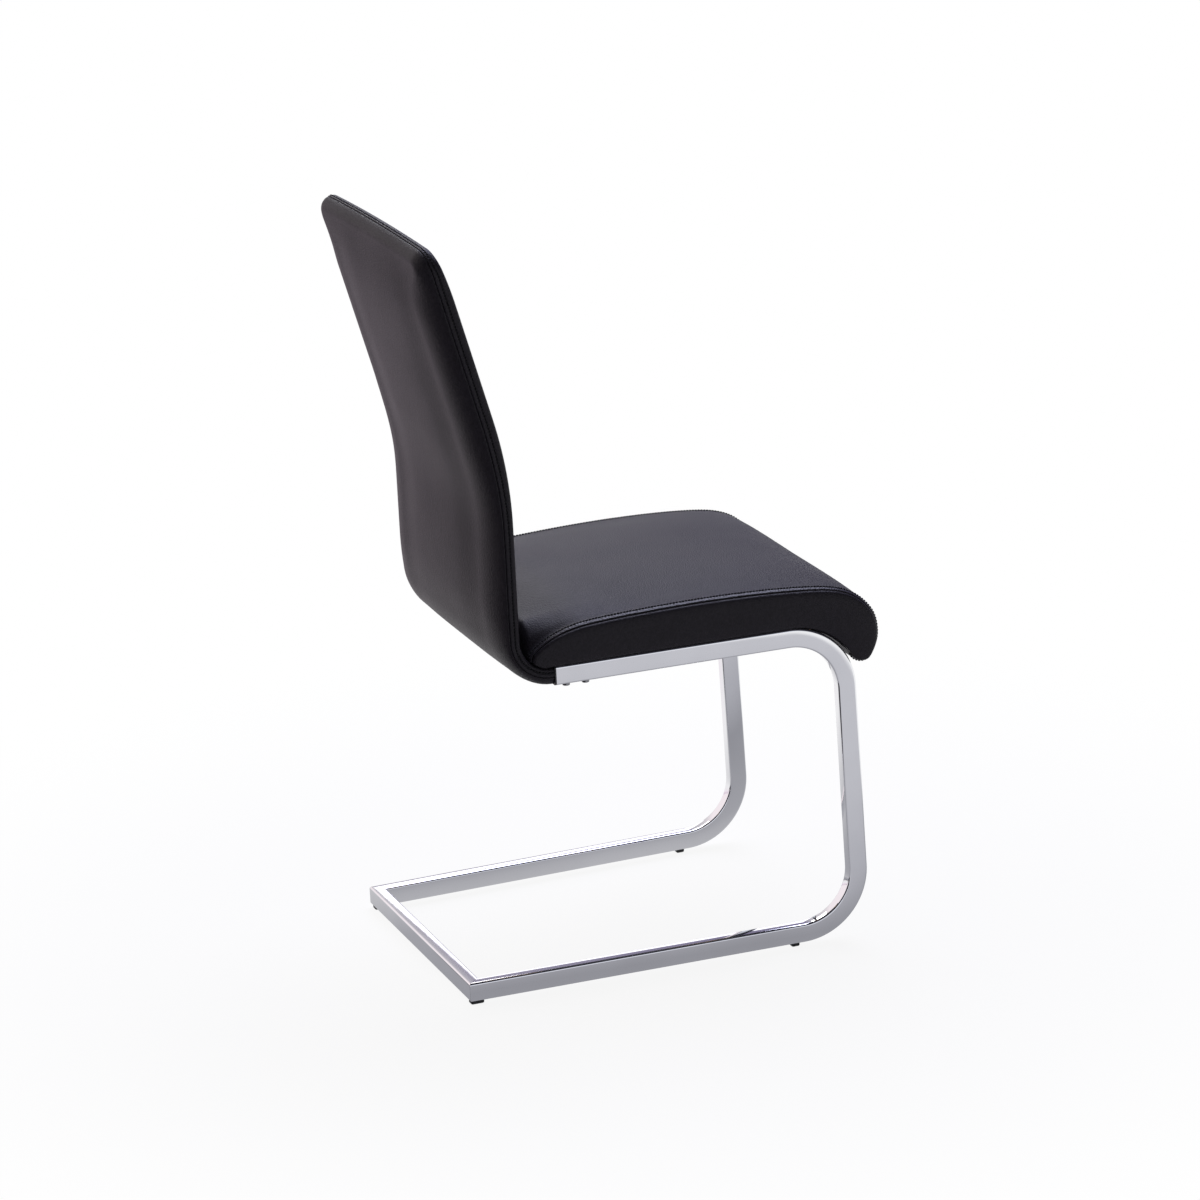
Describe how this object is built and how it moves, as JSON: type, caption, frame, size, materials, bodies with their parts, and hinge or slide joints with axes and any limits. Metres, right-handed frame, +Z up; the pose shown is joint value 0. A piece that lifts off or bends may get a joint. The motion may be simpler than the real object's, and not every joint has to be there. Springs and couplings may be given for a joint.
{
  "type": "cantilever dining chair",
  "caption": "Cantilever dining chair: padded seat with a rolled front lip and a padded L-shaped back on a bent chromed rectangular tube frame that stands on the floor by its runners.",
  "frame": {"origin": "on the floor, under the middle of the chair's bounding box", "axes": "+Z up, -Y the way the sitter faces, +X to the sitter's left"},
  "size_m": [0.423, 0.596, 0.9892],
  "materials": {
    "frame_chrome": "polished chrome plate",
    "bar_steel": "black powder coat",
    "fastener": "bright dark-plated steel",
    "insert_zinc": "zinc plated",
    "glide_plastic": "moulded, matt black",
    "leatherette": "fine-grained charcoal leatherette",
    "foam": "polyurethane foam",
    "plywood": "moulded plywood",
    "lining": "black non-woven"
  },
  "bodies": {
    "root": {"side_tube_left": "frame_chrome", "side_tube_right": "frame_chrome", "floor_cross_tube": "frame_chrome", "seat_bar_front": "bar_steel", "seat_bar_rear": "bar_steel", "rail_plug_left": "glide_plastic", "rail_plug_right": "glide_plastic", "glide_front_left": "glide_plastic", "glide_front_right": "glide_plastic", "glide_rear_left": "glide_plastic", "glide_rear_right": "glide_plastic", "seat_board": "plywood", "seat_foam": "foam", "seat_top_cover": "leatherette", "seat_side_panel_left": "leatherette", "seat_side_panel_right": "leatherette", "seat_dust_cover": "lining", "back_board": "plywood", "back_front_foam": "foam", "back_rear_foam": "foam", "back_front_cover": "leatherette", "back_rear_cover": "leatherette", "back_bolt_1": "fastener", "back_bolt_2": "fastener", "back_bolt_3": "fastener", "back_bolt_4": "fastener", "seat_bolt_left_1": "fastener", "seat_bolt_left_2": "fastener", "seat_bolt_right_1": "fastener", "seat_bolt_right_2": "fastener", "seat_screw_left_3": "fastener", "seat_screw_left_4": "fastener", "seat_screw_right_3": "fastener", "seat_screw_right_4": "fastener", "seat_insert_left_1": "insert_zinc", "seat_insert_left_2": "insert_zinc", "seat_insert_left_3": "insert_zinc", "seat_insert_left_4": "insert_zinc", "seat_insert_right_1": "insert_zinc", "seat_insert_right_2": "insert_zinc", "seat_insert_right_3": "insert_zinc", "seat_insert_right_4": "insert_zinc"}
  },
  "joints": []
}
